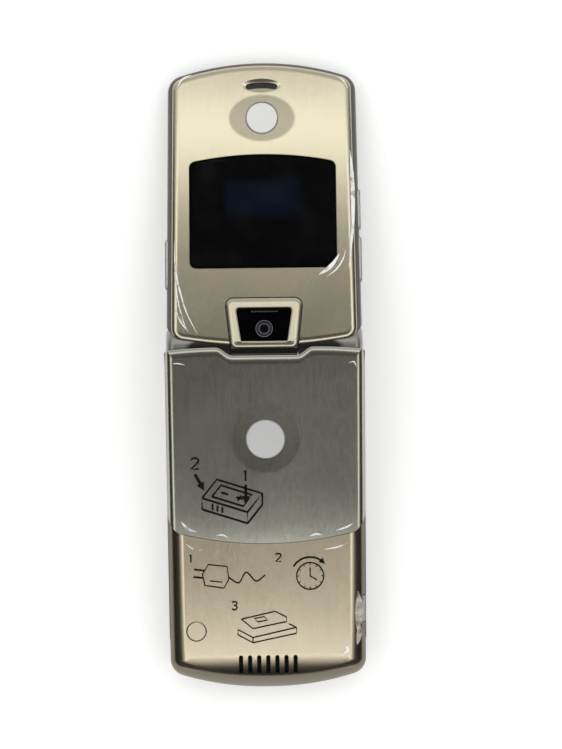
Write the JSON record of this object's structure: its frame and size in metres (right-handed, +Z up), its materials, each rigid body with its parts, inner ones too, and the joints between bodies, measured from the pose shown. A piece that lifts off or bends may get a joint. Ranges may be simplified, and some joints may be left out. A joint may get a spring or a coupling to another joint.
{
  "type": "flip phone",
  "caption": "Thin metal clamshell phone, open and lying face down, with hinged lid, outer display, camera, tilting battery door and pressable keys.",
  "frame": {"origin": "centre of the rest footprint, on the table under the open phone", "axes": "+Y along the phone from chin to lid tip, +Z up from the table, +X to the side that holds the connector"},
  "size_m": [0.053, 0.1676, 0.0218],
  "materials": {
    "champagne_metal": "brushed, satin, anodised",
    "door_metal": "brushed, satin, anodised",
    "dark_frame": "satin dark grey",
    "black_glass": "polished",
    "display_glass": "polished, unlit",
    "badge_metal": "satin, pale",
    "key_metal": "etched, satin",
    "side_key_metal": "satin",
    "steel": "plain",
    "black_rubber": "matte",
    "plug_rubber": "matte champagne",
    "board_green": "lacquered board",
    "battery_black": "wrapped",
    "dome_plastic": "translucent film",
    "black_plastic": "moulded",
    "clear_film": "clear, glossy"
  },
  "bodies": {
    "base": {"rear_housing": "dark_frame", "front_housing": "dark_frame", "lower_cover": "champagne_metal", "lower_film": "clear_film", "battery": "battery_black", "port_plug": "plug_rubber", "main_board": "board_green", "dome_sheet": "dome_plastic", "loudspeaker": "steel", "microphone": "steel", "antenna": "black_plastic", "usb_socket": "steel", "vibration_motor": "steel", "base_screws": "steel", "hinge_cartridge": "steel"},
    "lid": {"lid_cover": "champagne_metal", "lid_frame": "dark_frame", "lid_inner_cover": "dark_frame", "outer_window": "black_glass", "outer_display": "display_glass", "lid_badge": "badge_metal", "slot_mesh": "black_plastic", "camera_hump": "champagne_metal", "camera_window": "black_glass", "camera_module": "black_plastic", "main_window": "black_glass", "main_display": "display_glass", "lid_board": "board_green", "earpiece": "steel", "lid_bumpers": "black_rubber", "lid_screws": "steel", "hinge_shaft": "steel", "hinge_tube": "steel", "lid_film": "clear_film"},
    "battery_door": {"battery_door": "door_metal", "door_badge": "badge_metal", "door_film": "clear_film"},
    "volume_key_body": {"volume_key": "side_key_metal"},
    "smart_key_body": {"smart_key": "side_key_metal"},
    "voice_key_body": {"voice_key": "side_key_metal"},
    "nav_ring_body": {"nav_ring": "key_metal"},
    "select_key_body": {"select_key": "key_metal"},
    "soft_key_left_body": {"soft_key_left": "key_metal"},
    "soft_key_right_body": {"soft_key_right": "key_metal"},
    "send_key_body": {"send_key": "key_metal"},
    "clear_key_body": {"clear_key": "key_metal"},
    "end_key_body": {"end_key": "key_metal"},
    "key_1_body": {"key_1": "key_metal"},
    "key_2_body": {"key_2": "key_metal"},
    "key_3_body": {"key_3": "key_metal"},
    "key_4_body": {"key_4": "key_metal"},
    "key_5_body": {"key_5": "key_metal"},
    "key_6_body": {"key_6": "key_metal"},
    "key_7_body": {"key_7": "key_metal"},
    "key_8_body": {"key_8": "key_metal"},
    "key_9_body": {"key_9": "key_metal"},
    "key_star_body": {"key_star": "key_metal"},
    "key_0_body": {"key_0": "key_metal"},
    "key_hash_body": {"key_hash": "key_metal"}
  },
  "joints": [
    {"name": "lid_hinge", "type": "hinge", "parent": "base", "child": "lid", "pos_m": [0, 0.00726, 0.01452], "axis": [-1, 0, 0], "range_deg": [0, 163]},
    {"name": "door_tilt", "type": "hinge", "parent": "base", "child": "battery_door", "pos_m": [0, 0.00708, 0.02104], "axis": [-1, 0, 0], "range_deg": [0, 30]},
    {"name": "volume_rock", "type": "hinge", "parent": "lid", "child": "volume_key_body", "pos_m": [0.02531, 0.04357, 0.01054], "axis": [0, 0.1904, 0.9817], "range_deg": [-2.5, 2.5], "stiffness_Nm_per_rad": 0.05},
    {"name": "smart_key_press", "type": "slide", "parent": "lid", "child": "smart_key_body", "axis": [-1, 0, 0], "range_m": [0, 0.00035], "stiffness_N_per_m": 2000},
    {"name": "voice_key_press", "type": "slide", "parent": "lid", "child": "voice_key_body", "axis": [1, 0, 0], "range_m": [0, 0.00035], "stiffness_N_per_m": 2000},
    {"name": "nav_ring_press", "type": "slide", "parent": "base", "child": "nav_ring_body", "axis": [0, -0.1049, 0.9945], "range_m": [0, 0.00025], "stiffness_N_per_m": 2000},
    {"name": "select_key_press", "type": "slide", "parent": "base", "child": "select_key_body", "axis": [0, -0.1049, 0.9945], "range_m": [0, 0.00025], "stiffness_N_per_m": 2000},
    {"name": "soft_key_left_press", "type": "slide", "parent": "base", "child": "soft_key_left_body", "axis": [0, -0.1049, 0.9945], "range_m": [0, 0.00025], "stiffness_N_per_m": 2000},
    {"name": "soft_key_right_press", "type": "slide", "parent": "base", "child": "soft_key_right_body", "axis": [0, -0.1049, 0.9945], "range_m": [0, 0.00025], "stiffness_N_per_m": 2000},
    {"name": "send_key_press", "type": "slide", "parent": "base", "child": "send_key_body", "axis": [0, -0.1049, 0.9945], "range_m": [0, 0.00025], "stiffness_N_per_m": 2000},
    {"name": "clear_key_press", "type": "slide", "parent": "base", "child": "clear_key_body", "axis": [0, -0.1049, 0.9945], "range_m": [0, 0.00025], "stiffness_N_per_m": 2000},
    {"name": "end_key_press", "type": "slide", "parent": "base", "child": "end_key_body", "axis": [0, -0.1049, 0.9945], "range_m": [0, 0.00025], "stiffness_N_per_m": 2000},
    {"name": "key_1_press", "type": "slide", "parent": "base", "child": "key_1_body", "axis": [0, -0.1049, 0.9945], "range_m": [0, 0.00025], "stiffness_N_per_m": 2000},
    {"name": "key_2_press", "type": "slide", "parent": "base", "child": "key_2_body", "axis": [0, -0.1049, 0.9945], "range_m": [0, 0.00025], "stiffness_N_per_m": 2000},
    {"name": "key_3_press", "type": "slide", "parent": "base", "child": "key_3_body", "axis": [0, -0.1049, 0.9945], "range_m": [0, 0.00025], "stiffness_N_per_m": 2000},
    {"name": "key_4_press", "type": "slide", "parent": "base", "child": "key_4_body", "axis": [0, -0.1049, 0.9945], "range_m": [0, 0.00025], "stiffness_N_per_m": 2000},
    {"name": "key_5_press", "type": "slide", "parent": "base", "child": "key_5_body", "axis": [0, -0.1049, 0.9945], "range_m": [0, 0.00025], "stiffness_N_per_m": 2000},
    {"name": "key_6_press", "type": "slide", "parent": "base", "child": "key_6_body", "axis": [0, -0.1049, 0.9945], "range_m": [0, 0.00025], "stiffness_N_per_m": 2000},
    {"name": "key_7_press", "type": "slide", "parent": "base", "child": "key_7_body", "axis": [0, -0.1049, 0.9945], "range_m": [0, 0.00025], "stiffness_N_per_m": 2000},
    {"name": "key_8_press", "type": "slide", "parent": "base", "child": "key_8_body", "axis": [0, -0.1049, 0.9945], "range_m": [0, 0.00025], "stiffness_N_per_m": 2000},
    {"name": "key_9_press", "type": "slide", "parent": "base", "child": "key_9_body", "axis": [0, -0.1049, 0.9945], "range_m": [0, 0.00025], "stiffness_N_per_m": 2000},
    {"name": "key_star_press", "type": "slide", "parent": "base", "child": "key_star_body", "axis": [0, -0.1049, 0.9945], "range_m": [0, 0.00025], "stiffness_N_per_m": 2000},
    {"name": "key_0_press", "type": "slide", "parent": "base", "child": "key_0_body", "axis": [0, -0.1049, 0.9945], "range_m": [0, 0.00025], "stiffness_N_per_m": 2000},
    {"name": "key_hash_press", "type": "slide", "parent": "base", "child": "key_hash_body", "axis": [0, -0.1049, 0.9945], "range_m": [0, 0.00025], "stiffness_N_per_m": 2000}
  ]
}
